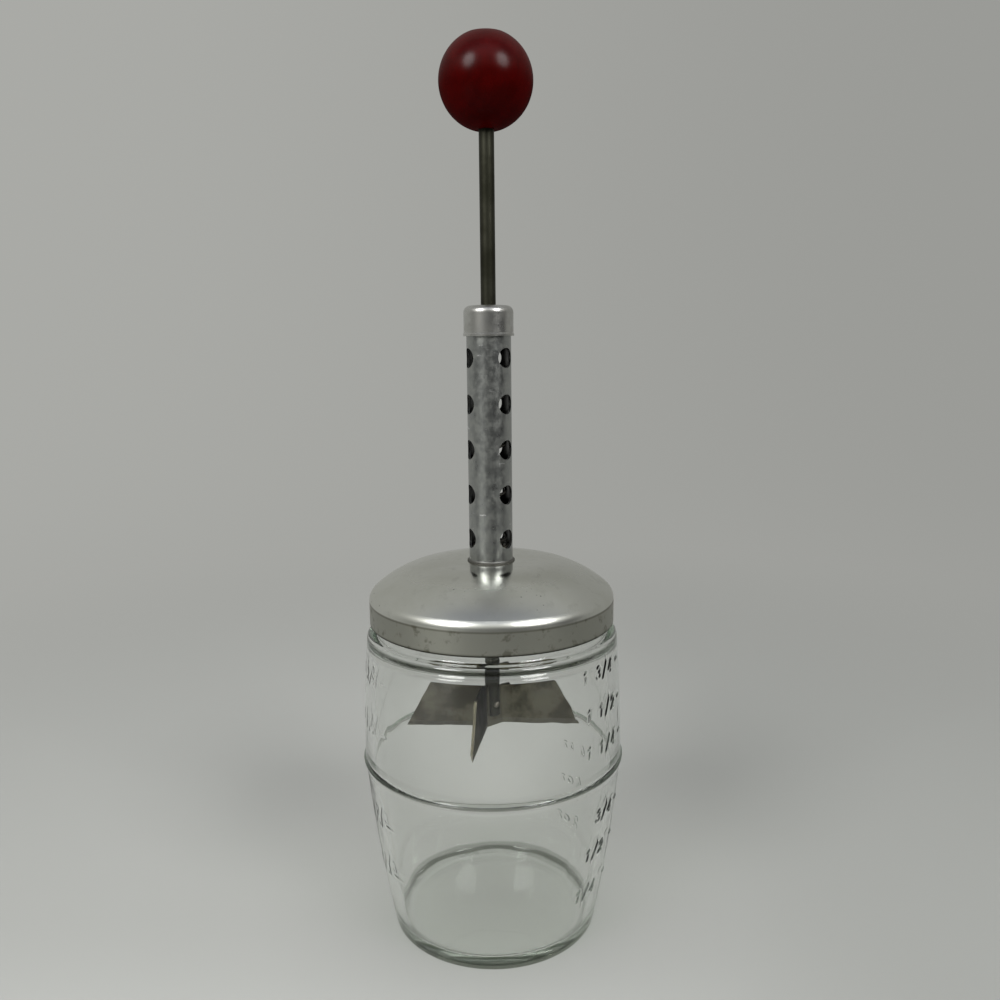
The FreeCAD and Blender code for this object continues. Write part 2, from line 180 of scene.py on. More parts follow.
class Paint:
    """A node material, or the world, made by expressions."""

    def __init__(self, name, owner=None):
        self.owner = owner or bpy.data.materials.new(name)
        self.owner.use_nodes = True
        self.tree = self.owner.node_tree
        self.tree.nodes.clear()

    def node(self, kind, settings=None, inputs=None, output=0):
        """Adds a node: its settings first, then the values or links of its sockets."""
        node = self.tree.nodes.new(kind)
        for key, value in (settings or {}).items():
            setattr(node, key, value)
        pairs = inputs.items() if isinstance(inputs, dict) else enumerate(inputs or [])
        for key, value in pairs:
            if isinstance(value, Sock):
                self.tree.links.new(value.socket, node.inputs[key])
            else:
                node.inputs[key].default_value = value
        return Sock(self, node.outputs[output]) if node.outputs else node

    def place(self):
        """The point's place in the frame, at rest."""
        return self.node("ShaderNodeTexCoord", output="Object")

    def xyz(self, vector):
        x = self.node("ShaderNodeSeparateXYZ", None, [vector])
        return x, x.also("Y"), x.also("Z")

    def stretched(self, vector, x, y, z):
        return self.node("ShaderNodeVectorMath", {"operation": "MULTIPLY"}, [vector, (x, y, z)])

    def noise(self, vector, scale, detail=3.0, rough=0.55):
        inputs = {"Vector": vector, "Scale": scale, "Detail": detail, "Roughness": rough}
        return self.node("ShaderNodeTexNoise", None, inputs)

    def mix(self, share, one, other):
        """Colour one where share is 0, and the other where it is 1."""
        settings = {"data_type": "RGBA", "clamp_factor": True}
        return self.node("ShaderNodeMix", settings, {0: share, 6: one, 7: other}, output=2)

    def bump(self, height, depth):
        """Depth is what a height of 1 stands for, in metres."""
        return self.node("ShaderNodeBump", None, {"Distance": depth, "Height": height})

    def principled(self, **inputs):
        named = {key.replace("_", " "): value for key, value in inputs.items()}
        return self.node("ShaderNodeBsdfPrincipled", None, named)

    def blend(self, share, one, other):
        return self.node("ShaderNodeMixShader", None, [share, one, other])

    def finish(self, surface, volume=None):
        inputs = {"Surface": surface}
        if volume:
            inputs["Volume"] = volume
        kind = "World" if isinstance(self.owner, bpy.types.World) else "Material"
        self.node("ShaderNodeOutput" + kind, None, inputs)
        return self.owner


def colour(red, green, blue):
    return (red, green, blue, 1.0)


# Mesh building


class Outline:
    """A run of (r, z) points along a turned section, made of lines and arcs."""

    def __init__(self, r, z):
        self.points = [(r, z)]

    def line(self, r, z, step=None):
        start_r, start_z = self.points[-1]
        count = max(1, round(math.dist((r, z), self.points[-1]) / step)) if step else 1
        for number in range(1, count + 1):
            share = number / count
            self.points.append((start_r + share * (r - start_r), start_z + share * (z - start_z)))

    def arc(self, r, z, centre, step):
        """The short way round a circle about centre."""
        start_r, start_z = self.points[-1]
        first = math.atan2(start_z - centre[1], start_r - centre[0])
        last = math.atan2(z - centre[1], r - centre[0])
        turn = (last - first + math.pi) % (2 * math.pi) - math.pi
        radius = math.dist(centre, (r, z))
        count = max(2, math.ceil(abs(turn) * radius / step))
        for number in range(1, count + 1):
            angle = first + turn * number / count
            point = (centre[0] + radius * math.cos(angle), centre[1] + radius * math.sin(angle))
            self.points.append(point)


def bulged_circle(low, high, bulge):
    """Centre and radius of the circle through two (r, z) points that stands out by bulge."""
    run = math.dist(low, high)
    radius = (run * run / 4 + bulge * bulge) / (2 * bulge)
    depth = (radius - bulge) / run
    middle = ((low[0] + high[0]) / 2, (low[1] + high[1]) / 2)
    centre = (middle[0] - depth * (high[1] - low[1]), middle[1] + depth * (high[0] - low[0]))
    return centre, radius


def on_circle(circle, z):
    (r, middle_z), radius = circle
    return r + math.sqrt(radius * radius - (z - middle_z) ** 2)


def shrunk(circle, amount):
    return circle[0], circle[1] - amount


def pushed(centre, through, radius):
    reach = math.dist(centre, through)
    return tuple(c + radius * (t - c) / reach for c, t in zip(centre, through))


def stations(start, stop, coarse, fine, zones):
    """Places from start to stop: fine steps inside the zones and coarse ones elsewhere."""
    places = [start]
    edges = sorted({start, stop, *[min(max(e, start), stop) for zone in zones for e in zone]})
    for low, high in zip(edges, edges[1:]):
        middle = (low + high) / 2
        inside = any(zone[0] < middle < zone[1] for zone in zones)
        count = max(1, round((high - low) / (fine if inside else coarse)))
        places += [low + (high - low) * number / count for number in range(1, count + 1)]
    return places


def new_mesh(name, points, faces):
    mesh = bpy.data.meshes.new(name)
    mesh.from_pydata(points, [], faces)
    mesh.polygons.foreach_set("use_smooth", [True] * len(mesh.polygons))
    mesh.update()
    piece = bpy.data.objects.new(name, mesh)
    bpy.context.scene.collection.objects.link(piece)
    return piece


def turned(name, section, angles, relief):
    """Turns a section, from axis to axis, about Z. relief(angles, section) lifts the surface."""
    rows = np.array(section)
    ahead = np.roll(rows, -1, 0)[1:-1] - np.roll(rows, 1, 0)[1:-1]
    ahead /= np.linalg.norm(ahead, axis=1)[:, None]
    out_r, out_z = ahead[:, 1], -ahead[:, 0]
    inner = rows[1:-1]
    lift = relief(angles, inner)
    r = inner[:, :1] + out_r[:, None] * lift
    z = inner[:, 1:] + out_z[:, None] * lift
    x = r * np.sin(np.radians(angles))
    y = -r * np.cos(np.radians(angles))
    count = len(angles)
    points = np.stack([x, y, z], -1).reshape(-1, 3).tolist()
    low = len(points)
    points += [(0, 0, rows[0, 1]), (0, 0, rows[-1, 1])]
    faces = []
    for row in range(len(inner) - 1):
        a = row * count
        b = a + count
        faces += [(a + j, a + (j + 1) % count, b + (j + 1) % count, b + j) for j in range(count)]
    last = (len(inner) - 1) * count
    faces += [(low, (j + 1) % count, j) for j in range(count)]
    faces += [(low + 1, last + j, last + (j + 1) % count) for j in range(count)]
    return new_mesh(name, points, faces)


def wire(name, centre_line, radius, sides=10):
    """A round wire along points, with closed ends."""
    line = np.array(centre_line)
    ahead = np.gradient(line, axis=0)
    ahead /= np.linalg.norm(ahead, axis=1)[:, None]
    outward = np.stack([line[:, 0], line[:, 1], np.zeros(len(line))], 1)
    outward -= ahead * np.sum(outward * ahead, 1)[:, None]
    outward /= np.linalg.norm(outward, axis=1)[:, None]
    across = np.cross(ahead, outward)
    turn = np.linspace(0, 2 * math.pi, sides, endpoint=False)
    rings = line[:, None] + radius * (
        np.cos(turn)[None, :, None] * outward[:, None] + np.sin(turn)[None, :, None] * across[:, None]
    )
    points = rings.reshape(-1, 3).tolist()
    faces = []
    for ring in range(len(line) - 1):
        a = ring * sides
        b = a + sides
        faces += [(a + j, b + j, b + (j + 1) % sides, a + (j + 1) % sides) for j in range(sides)]
    faces.append(tuple(range(sides)))
    faces.append(tuple(reversed(range((len(line) - 1) * sides, len(line) * sides))))
    return new_mesh(name, points, faces)


# The jar's section is worked out as in the solid: two bulged circles that meet at the belly
land_z = jar_height - neck_height
shoulder_z = land_z - shoulder_round
shoulder_r = neck_r + shoulder_step
belly_z = shoulder_z - upper_side_height
inner_shoulder_z = shoulder_z - inner_shoulder_drop
lower_side = bulged_circle((foot_r, 0), (belly_r, belly_z), lower_bulge)
upper_side = bulged_circle((belly_r, belly_z), (shoulder_r, shoulder_z), upper_bulge)
lower_bore = shrunk(lower_side, glass_wall)
upper_bore = shrunk(upper_side, glass_wall)
floor_corner_z = base_thickness + floor_round
floor_corner = (on_circle(shrunk(lower_bore, floor_round), floor_corner_z), floor_corner_z)
floor_corner_top = pushed(lower_bore[0], floor_corner, lower_bore[1])


def outer_radius(z):
    return on_circle(lower_side if z < belly_z else upper_side, z)


def bore_radius(z):
    if z < floor_corner_top[1]:
        return floor_corner[0] + math.sqrt(floor_round**2 - (z - floor_corner_z) ** 2)
    return on_circle(lower_bore if z < belly_z else upper_bore, z)


def fill_height(volume, slice_height=0.02 * MM):
    """The height to which a volume fills the jar."""
    filled = 0.0
    z = base_thickness
    while filled < volume:
        filled += math.pi * bore_radius(z + slice_height / 2) ** 2 * slice_height
        z += slice_height
    return z


def scale_levels(shares_per_cup):
    """The heights of the even shares of two cups, up to the inner shoulder, but for whole cups."""
    counts = [n for n in range(1, 2 * shares_per_cup) if n % shares_per_cup]
    return [fill_height(n * cup_volume / shares_per_cup) for n in counts]


ring_z = fill_height(cup_volume)
quarter_levels = scale_levels(4)
third_levels = scale_levels(3)


# Figures of the scale, as strokes in a box one unit high, with their middle at figure_middle
figure_middle = 0.3


def bow(x, y, radius, first, last, steps=9):
    """Points round a circle, by degrees from the right."""
    turn = [math.radians(first + (last - first) * n / steps) for n in range(steps + 1)]
    return [(x + radius * math.cos(t), y + radius * math.sin(t)) for t in turn]


FIGURES = {
    "1": [[(0.1, 0.78), (0.3, 1.0), (0.3, 0.0)]],
    "2": [bow(0.3, 0.7, 0.29, 165, -35) + [(0.02, 0.0), (0.62, 0.0)]],
    "3": [bow(0.29, 0.76, 0.24, 150, -80) + bow(0.29, 0.27, 0.28, 80, -150)],
    "4": [[(0.64, 0.3), (0.0, 0.3), (0.46, 1.0), (0.46, 0.0)]],
    "6": [bow(0.3, 0.28, 0.27, 0, 360, 14), bow(0.62, 0.34, 0.6, 180, 118)],
    "/": [[(0.02, -0.14), (0.5, 1.14)]],
    "o": [bow(0.28, 0.26, 0.26, 0, 360, 12)],
    "z": [[(0.04, 0.52), (0.5, 0.52), (0.04, 0.0), (0.52, 0.0)]],
}


def scale_texts():
    """Each row of the scale: its figures, its height and the angle at which it ends."""
    quarter_texts = ("1/4", "1/2", "3/4", "1 1/4", "1 1/2", "1 3/4")
    quarter_ends = (58.5, 61.0, 65.0, 65.0, 65.5, 64.5)
    third_texts = ("1/3", "2/3", "1 1/3", "1 2/3")
    ounce_texts = ("2 oz", "4 oz", "6 oz")
    rows = list(zip(quarter_texts, quarter_levels, quarter_ends))
    rows += [(text, z, third_end_angle) for text, z in zip(third_texts, third_levels)]
    rows += [(text, z, ounce_end_angle) for text, z in zip(ounce_texts, quarter_levels)]
    return rows


def figure_strokes(text, z, end_angle, side_r):
    """The strokes of one row, as (angle, height) points in metres along the glass."""
    strokes = []
    right = math.radians(end_angle) * side_r - 0.5 * figure_height
    for sign in reversed(text):
        if sign == " ":
            right -= whole_gap
            continue
        for points in FIGURES[sign]:
            drawn = []
            for x, y in points:
                u = right + (x - figure_middle + figure_slant * (y - 0.5)) * figure_height
                drawn.append((u, z + (y - 0.5) * figure_height))
            strokes.append(drawn)
        right -= figure_pitch
    return strokes


def stroke_distance(u, v, points):
    """The least distance from (u, v) grids to a run of points."""
    least = np.full(u.shape, np.inf)
    for (ax, ay), (bx, by) in zip(points, points[1:]):
        run_x, run_y = bx - ax, by - ay
        share = ((u - ax) * run_x + (v - ay) * run_y) / (run_x**2 + run_y**2)
        share = np.clip(share, 0, 1)
        least = np.minimum(least, np.hypot(u - ax - share * run_x, v - ay - share * run_y))
    return least


def rounded(distance, half_width):
    """1 on a stroke's line, falling to 0 at its edge like a pressed bead."""
    share = np.clip(1 - distance / half_width, 0, 1)
    return share * share * (3 - 2 * share)


def make_jar():
    rim_round = neck_wall / 2
    mouth_r = neck_r - neck_wall
    rim = (neck_r - rim_round, jar_height - rim_round)
    foot = (on_circle(shrunk(lower_side, foot_round), foot_round), foot_round)
    foot_side = pushed(lower_side[0], foot, lower_side[1])
    kick_edge_r = foot[0] - rest_ring_width
    kick_r = (kick_edge_r**2 + kick_height**2) / (2 * kick_height)

    # The mesh is close where the scale's figures and ticks stand: on the right, left and back
    rows = [(text, z, end, outer_radius(z)) for text, z, end in scale_texts()]
    row_reach = 0.72 * figure_height
    height_zones = [(z - row_reach, z + row_reach) for _, z, _, _ in rows]
    angle_zones = [(36, 74), (277, 307), (112, 141)]
    coarse_turn, fine_turn = 3.0, 0.4
    angles = np.array(stations(0, 360, coarse_turn, fine_turn, angle_zones)[:-1])
    side_step = 1.6 * MM
    fine_step = 0.3 * MM
    ring_step = 0.1 * MM
    ring_foot = (ring_z - ring_tube_r, ring_z + ring_tube_r)
    heights = stations(foot_side[1], ring_foot[0], side_step, fine_step, height_zones)[1:]
    heights += stations(*ring_foot, ring_step, ring_step, [])[1:]
    heights += stations(ring_foot[1], shoulder_z, side_step, fine_step, height_zones)[1:]

    glass = Outline(0, kick_height)
    glass.arc(kick_edge_r, 0, (0, kick_height - kick_r), step=2.5 * MM)
    glass.line(foot[0], 0, step=1.2 * MM)
    glass.arc(*foot_side, foot, step=0.4 * MM)
    glass.points += [(outer_radius(z), z) for z in heights]
    side_end = len(glass.points)
    land_r = shoulder_r - shoulder_round
    glass.arc(land_r, land_z, (land_r, shoulder_z), step=0.3 * MM)
    fillet = (neck_r + neck_fillet, land_z + neck_fillet)
    glass.line(fillet[0], land_z, step=0.5 * MM)
    glass.arc(neck_r, fillet[1], fillet, step=0.25 * MM)
    glass.line(neck_r, rim[1], fine_step)
    neck_end = len(glass.points)
    glass.arc(rim[0], jar_height, rim, step=0.35 * MM)
    glass.arc(mouth_r, rim[1], rim, step=0.35 * MM)
    rim_end = len(glass.points)
    inner_shoulder_r = on_circle(upper_bore, inner_shoulder_z)
    bend = (inner_shoulder_r - mouth_r) / (2 - 2 * math.cos(inner_shoulder_sweep))
    half_drop = bend * math.sin(inner_shoulder_sweep)
    mouth_end_z = inner_shoulder_z + 2 * half_drop
    turning = ((mouth_r + inner_shoulder_r) / 2, inner_shoulder_z + half_drop)
    glass.line(mouth_r, mouth_end_z, step=1.5 * MM)
    glass.arc(*turning, (mouth_r + bend, mouth_end_z), step=0.5 * MM)
    lower_turning = (inner_shoulder_r - bend, inner_shoulder_z)
    glass.arc(inner_shoulder_r, inner_shoulder_z, lower_turning, step=0.5 * MM)
    glass.arc(on_circle(lower_bore, belly_z), belly_z, upper_bore[0], step=2.0 * MM)
    glass.arc(*floor_corner_top, lower_bore[0], step=2.0 * MM)
    glass.arc(floor_corner[0], base_thickness, floor_corner, step=0.25 * MM)
    glass.line(0, base_thickness, step=2.5 * MM)

    def relief(angles, inner):
        lift = np.zeros((len(inner), len(angles)))
        z = inner[:, 1][:, None]
        side = slice(0, side_end - 1)
        side_z = z[side]
        along = np.radians(angles)[None, :]
        bead = np.sqrt(np.maximum(ring_tube_r**2 - (side_z - ring_z) ** 2, 0))
        lift[side] = np.maximum(bead - ring_tube_r + ring_relief, 0)
        for text, level, end, side_r in rows:
            near = np.abs(side_z[:, 0] - level) < row_reach
            u = ((along + math.pi) % (2 * math.pi) - math.pi) * side_r + 0 * side_z[near]
            v = side_z[near] + 0 * along
            height = np.zeros(u.shape)
            for stroke_points in figure_strokes(text, level, end, side_r):
                distance = stroke_distance(u, v, stroke_points)
                height = np.maximum(height, rounded(distance, stroke_foot))
            share = third_figure_share if end == third_end_angle else 1.0
            lift[side][near] = np.maximum(lift[side][near], share * figure_relief * height)
        ticks = [(z, quarter_tick_angle, 1.0) for z in quarter_levels]
        ticks += [(z, third_tick_angle, third_tick_share) for z in third_levels]
        for level, angle, share in ticks:
            side_r = outer_radius(level)
            near = np.abs(side_z[:, 0] - level) < row_reach
            u = ((along - math.radians(angle) + math.pi) % (2 * math.pi) - math.pi) * side_r
            reach = (tick_length - tick_height) / 2
            distance = np.hypot(np.maximum(np.abs(u) - reach, 0), side_z[near] - level)
            height = share * figure_relief * rounded(distance, tick_foot)
            lift[side][near] = np.maximum(lift[side][near], height)
        neck = slice(side_end - 1, neck_end - 1)
        turn = (angles[None, :] - thread_start) % 360
        along_thread = np.clip(np.minimum(turn, 360 * thread_turns - turn) / thread_taper, 0, 1)
        bead_z = thread_low_z + thread_lead * turn / 360
        bead = rounded(np.abs(z[neck] - bead_z), thread_foot)
        lift[neck] = thread_relief * bead * along_thread
        inside = slice(rim_end - 1, len(inner))
        # The bore of pressed glass is never quite true
        wave = np.sin(3 * along + 40 * z[inside]) + 0.7 * np.sin(5 * along - 75 * z[inside] + 1.3)
        wave = wave + 0.5 * np.sin(2 * along + 130 * z[inside] + 0.4)
        lift[inside] = bore_waviness * wave * np.clip(inner[inside, :1] / belly_r, 0, 1) ** 2
        return lift

    jar = turned("jar_glass_body", glass.points, angles, relief)
    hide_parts("glass_jar")
    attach(jar, "jar")
    return jar


def make_spring():
    low = spring_low.z + wire_r
    high = spring_high.z - wire_r
    mean_r = (spring_high.x - spring_low.x) / 2 - wire_r
    working_turns = spring_turns - 2 * end_turns
    working_pitch = (high - low - 2 * end_turns * end_pitch) / working_turns
    line = []
    for number in range(spring_turns * points_per_turn + 1):
        turn = number / points_per_turn
        if turn < end_turns:
            z = low + turn * end_pitch
        elif turn > spring_turns - end_turns:
            z = high - (spring_turns - turn) * end_pitch
        else:
            z = low + end_turns * end_pitch + (turn - end_turns) * working_pitch
        angle = math.radians(spring_start + 360 * turn)
        line.append((mean_r * math.sin(angle), -mean_r * math.cos(angle), z))
    spring = wire("spring_wire", line, wire_r)
    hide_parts("return_spring")
    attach(spring, "spring_seat")
    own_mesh(spring)
    return spring


# Finishes


def glass_paint():
    """Clear pressed glass, faintly green in depth, that lets lamplight through to what it holds. Its
    ring, shoulder and foot are painted dark grey-green, as painted shade for the dark lines their glass
    shows."""
    paint = Paint("clear_glass")
    spot = paint.place()
    x, y, z = paint.xyz(spot)
    ripple = paint.noise(spot, 55.0, 2.0)
    radius = (x * x + y * y) ** 0.5
    ring = (z - ring_z).math("ABSOLUTE").ramp(0.45 * MM, 0.75 * MM, 1.0, 0.0)
    ring = ring * radius.ramp(belly_r - 1.8 * MM, belly_r - 1.2 * MM)
    shoulder = z.ramp(shoulder_z - 0.5 * MM, shoulder_z)
    shoulder = shoulder * z.ramp(land_z - 0.9 * MM, land_z - 0.4 * MM, 1.0, 0.0)
    shoulder = shoulder * radius.ramp(neck_r + 0.8 * MM, neck_r + 1.6 * MM)
    foot = z.ramp(4.5 * MM, 5.5 * MM, 1.0, 0.0)
    foot = foot * radius.ramp(foot_r - 4.6 * MM, foot_r - 3.4 * MM)
    foot_edge = z.ramp(2.2 * MM, 3.4 * MM, 1.0, 0.0)
    foot_edge = foot_edge * radius.ramp(foot_r - 2.4 * MM, foot_r - 1.4 * MM)
    # Painted shade: the ring, shoulder and foot are painted dark, standing in for the dark lines that
    # light bent in their glass shows
    painted_dark_lines = (ring * 0.85 + shoulder * 0.8 + foot * 0.62 + foot_edge * 0.6).least(1.0)
    clear_tone = colour(0.985, 0.988, 0.98)
    painted_dark_tone = colour(0.10, 0.115, 0.085)
    body = paint.principled(
        Base_Color=paint.mix(painted_dark_lines, clear_tone, painted_dark_tone),
        Roughness=0.012,
        IOR=1.51,
        Transmission_Weight=1.0,
        Normal=paint.bump(ripple, 0.00012),
    )
    clear = paint.node("ShaderNodeBsdfTransparent", None, {"Color": colour(0.988, 0.991, 0.986)})
    path = paint.node("ShaderNodeLightPath", output="Is Shadow Ray")
    through = path.most(path.also("Is Diffuse Ray"))
    green = {"Color": colour(0.60, 0.72, 0.60), "Density": 12.0}
    depth = paint.node("ShaderNodeVolumeAbsorption", None, green)
    return paint.finish(paint.blend(through, body, clear), depth)


def lid_paint():
    """Spun aluminium gone dull: fine turning rings, stains and pits, a rougher skirt painted darker as
    painted shade, painted shade in the fold over the skirt, and a darker band along the hem."""
    paint = Paint("spun_aluminium")
    spot = paint.place()
    x, y, z = paint.xyz(spot)
    radius = (x * x + y * y) ** 0.5
    ring_place = paint.node("ShaderNodeCombineXYZ", None, [radius, z, 0.0])
    rings = paint.noise(ring_place, 2600.0, 2.0, 0.7)
    cloud = paint.noise(spot, 60.0, 4.0, 0.6)
    grime_and_painted_shade = paint.noise(spot, 230.0, 5.0, 0.65)
    specks = paint.node("ShaderNodeTexVoronoi", None, {"Vector": spot, "Scale": 420.0})
    pits = specks.ramp(0.0, 0.16, 1.0, 0.0) * paint.noise(spot, 95.0, 2.0).ramp(0.58, 0.68)
    above_hem = z - lid_low_z
    skirt_height = 7.6 * MM
    skirt = above_hem.ramp(skirt_height - 0.6 * MM, skirt_height, 1.0, 0.0)
    # Painted shade: a dark line in the fold over the skirt
    fold = (above_hem - skirt_height).math("ABSOLUTE").ramp(0.1 * MM, 0.6 * MM, 1.0, 0.0)
    # Darker towards the hem, with a near-black line along its lowest edge
    hem = above_hem.ramp(0.2 * MM, 1.3 * MM, 1.0, 0.0)
    hem_dark_line = above_hem.ramp(0.4 * MM, 0.8 * MM, 0.85, 0.0)
    patchy = grime_and_painted_shade.ramp(0.54, 0.68)
    # Real stains, with painted shade added in the fold and a darker band along the hem
    stain_and_painted_shade = (patchy * (0.12 + skirt * 0.5) + hem * 0.65 + fold * 0.8).least(1.0)
    base = paint.mix(cloud.ramp(0.35, 0.7), colour(0.66, 0.665, 0.62), colour(0.60, 0.605, 0.55))
    # Painted shade: the skirt is painted darker, standing in for the dim room it mirrors
    base = paint.mix(skirt * 0.85, base, colour(0.30, 0.30, 0.26))
    base = paint.mix(stain_and_painted_shade, base, colour(0.12, 0.115, 0.085))
    base = paint.mix(pits, base, colour(0.06, 0.055, 0.045))
    base = paint.mix(hem_dark_line, base, colour(0.03, 0.03, 0.024))
    rim = radius.ramp(20.0 * MM, 33.0 * MM)
    shine = 0.12 + rim * 0.17 + cloud.ramp(0.3, 0.75) * 0.06 + skirt * 0.1 + stain_and_painted_shade * 0.12 + pits * 0.3
    height = rings * 0.5 + grime_and_painted_shade * 0.35 + pits * -1.0
    body = paint.principled(
        Base_Color=base,
        Metallic=1.0,
        Roughness=shine,
        Normal=paint.bump(height, 0.00002),
    )
    return paint.finish(body)


def tube_paint():
    """Drawn aluminium tube, scuffed lengthwise, with small dents and dull patches, a painted shadow
    along its foot, and a bore painted black as painted shade.
    """
    paint = Paint("drawn_aluminium")
    bore_r = (spring_high.x - spring_low.x) / 2 + spring_clearance
    spot = paint.place()
    x, y, z = paint.xyz(spot)
    scratches = paint.noise(paint.stretched(spot, 1.0, 1.0, 0.03), 1500.0, 3.0, 0.7)
    patches = paint.noise(paint.stretched(spot, 1.0, 1.0, 0.8), 420.0, 5.0, 0.65)
    dents = paint.noise(spot, 130.0, 2.0, 0.4)
    nicks = paint.noise(paint.stretched(spot, 0.5, 0.5, 1.6), 380.0, 3.0, 0.6).ramp(0.66, 0.72)
    base = paint.mix(patches.ramp(0.35, 0.68), colour(0.32, 0.33, 0.325), colour(0.40, 0.41, 0.39))
    base = paint.mix(nicks, base, colour(0.80, 0.80, 0.80))
    radius = (x * x + y * y) ** 0.5
    outside = radius.ramp(bore_r, bore_r + 0.15 * MM)
    # Painted shadow: a dark band along the tube's foot, where its flange meets the lid
    grime_and_painted_shade = z.ramp(tube_low_z + 0.4 * MM, tube_low_z + 1.2 * MM, 0.85, 0.0)
    base = paint.mix(grime_and_painted_shade, base, colour(0.10, 0.095, 0.08))
    # Painted shade: the bore is painted near black and not metal, so the holes look dark
    base = paint.mix(outside, colour(0.004, 0.004, 0.004), base)
    shine = 0.24 + patches.ramp(0.3, 0.7) * 0.14 + scratches * 0.06 + grime_and_painted_shade * 0.3
    height = scratches * 0.25 + dents * 0.5 + patches * 0.15
    body = paint.principled(
        Base_Color=base,
        Metallic=outside,
        Roughness=shine,
        Normal=paint.bump(height, 0.00007),
    )
    return paint.finish(body)


def cap_paint():
    """Bright drawn aluminium, a little dulled."""
    paint = Paint("bright_aluminium")
    spot = paint.place()
    rings = paint.noise(paint.stretched(spot, 0.15, 0.15, 1.0), 2400.0, 2.0, 0.6)
    cloud = paint.noise(spot, 190.0, 4.0, 0.6)
    base = paint.mix(cloud.ramp(0.35, 0.7), colour(0.56, 0.56, 0.54), colour(0.42, 0.415, 0.39))
    body = paint.principled(
        Base_Color=base,
        Metallic=1.0,
        Roughness=0.26 + cloud.ramp(0.3, 0.7) * 0.12,
        Normal=paint.bump(rings * 0.5 + cloud * 0.5, 0.00003),
    )
    return paint.finish(body)


def steel_paint(name, bright, dull, roughness, rust=0.0):
    """Dull steel with lengthwise polish marks and darker stains."""
    paint = Paint(name)
    spot = paint.place()
    lines = paint.noise(paint.stretched(spot, 1.0, 1.0, 0.02), 2200.0, 3.0, 0.7)
    cloud = paint.noise(spot, 120.0, 4.0, 0.6)
    base = paint.mix(cloud.ramp(0.35, 0.7), bright, dull)
    rust_spots = paint.noise(spot, 500.0, 4.0).ramp(0.6, 0.75)
    base = paint.mix(rust_spots * rust, base, colour(0.12, 0.07, 0.035))
    body = paint.principled(
        Base_Color=base,
        Metallic=1.0,
        Roughness=roughness + cloud.ramp(0.3, 0.7) * 0.12 + lines * 0.06,
        Normal=paint.bump(lines * 0.6 + cloud * 0.4, 0.00003),
    )
    return paint.finish(body)


def blade_paint():
    """Stained blade steel: brown-grey plates, lighter ground bevels, and one wing painted near black
    as painted shade, less so towards its tip."""
    paint = Paint("blade_steel_stained")
    spot = paint.place()
    _, y, z = paint.xyz(spot)
    cloud = paint.noise(spot, 95.0, 4.0, 0.6)
    streaks = paint.noise(paint.stretched(spot, 1.0, 1.0, 0.25), 420.0, 4.0, 0.65)
    bevel = (z - blade_low_z).ramp(1.7 * MM, 1.95 * MM, 1.0, 0.0)
    # Painted shade: the front wing is painted near black, less so towards its tip
    painted_shade_wing = y.ramp(-6.0 * MM, -4.0 * MM, 1.0, 0.0) * y.ramp(-21.0 * MM, -13.0 * MM, 0.55, 1.0)
    base = paint.mix(cloud.ramp(0.40, 0.62), colour(0.145, 0.135, 0.095), colour(0.055, 0.048, 0.03))
    base = paint.mix(streaks.ramp(0.55, 0.75) * 0.6, base, colour(0.06, 0.042, 0.025))
    base = paint.mix(painted_shade_wing * 0.85, base, colour(0.012, 0.012, 0.008))
    base = paint.mix(bevel * 0.4, base, colour(0.17, 0.165, 0.14))
    body = paint.principled(
        Base_Color=base,
        Metallic=1.0,
        Roughness=0.34 + cloud.ramp(0.3, 0.7) * 0.14 - bevel * 0.05,
        Specular_Tint=colour(0.25, 0.25, 0.22),
        Normal=paint.bump(streaks * 0.6 + cloud * 0.4, 0.00006),
    )
    return paint.finish(body)


def knob_paint():
    """Turned wood under dark cherry lacquer, glossy above, dull below and rubbed in small spots."""
    paint = Paint("cherry_lacquer")
    spot = paint.place()
    _, _, z = paint.xyz(spot)
    grain = paint.noise(paint.stretched(spot, 1.0, 1.0, 0.12), 900.0, 4.0, 0.6)
    cloud = paint.noise(spot, 130.0, 3.0, 0.5)
    handled = paint.noise(spot, 1300.0, 3.0, 0.6)
    wear = paint.noise(spot, 260.0, 4.0, 0.7).ramp(0.66, 0.74)
    base = paint.mix(cloud.ramp(0.3, 0.7), colour(0.049, 0.0009, 0.0008), colour(0.031, 0.0006, 0.0005))
    base = paint.mix(grain.ramp(0.45, 0.8) * 0.5, base, colour(0.025, 0.0012, 0.001))
    base = paint.mix(wear * 0.5, base, colour(0.028, 0.008, 0.005))
    middle = (knob_low.z + knob_high.z) / 2
    polished = z.ramp(middle - 3.0 * MM, middle + 6.0 * MM)
    body = paint.principled(
        Base_Color=base,
        Roughness=0.5,
        Specular_IOR_Level=0.0,
        Coat_Weight=(0.05 + polished * 0.25) * (1.0 - wear * 0.5),
        Coat_Roughness=0.24,
        Normal=paint.bump(grain * 0.4 + handled * 0.6, 0.0001),
    )
    return paint.finish(body)


def dress_solids():
    """Gives every solid that stays its finish."""
    rod = steel_paint("rod_steel", colour(0.049, 0.049, 0.036), colour(0.025, 0.025, 0.017), 0.42)
    bright, dull = colour(0.34, 0.32, 0.28), colour(0.24, 0.22, 0.18)
    fittings = steel_paint("plain_steel", bright, dull, 0.34, rust=0.4)
    drawn_caps = cap_paint()
    blades = blade_paint()
    finishes = {
        "screw_lid": lid_paint(),
        "guide_ferrule": drawn_caps,
        "spring_tube": tube_paint(),
        "tube_cap": drawn_caps,
        "seat_washer": fittings,
        "follower_washer": fittings,
        "stop_pin": fittings,
        "plunger_rod": rod,
        "knob": knob_paint(),
        "blade_front_right": blades,
        "blade_back_left": blades,
        "blade_rivet": fittings,
    }
    for node, material in finishes.items():
        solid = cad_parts[node]
        for material_slot in solid.material_slots:
            material_slot.material = material


# Studio

backdrop_grey = (0.385, 0.388, 0.368)
bowl_r = 1.5
bowl_round = 0.6
bowl_height = 1.6
lamp_aim = Vector((0, 0, 0.14))
soft_box_size = (0.46, 0.56)
overhead_size = (1.2, 1.2)


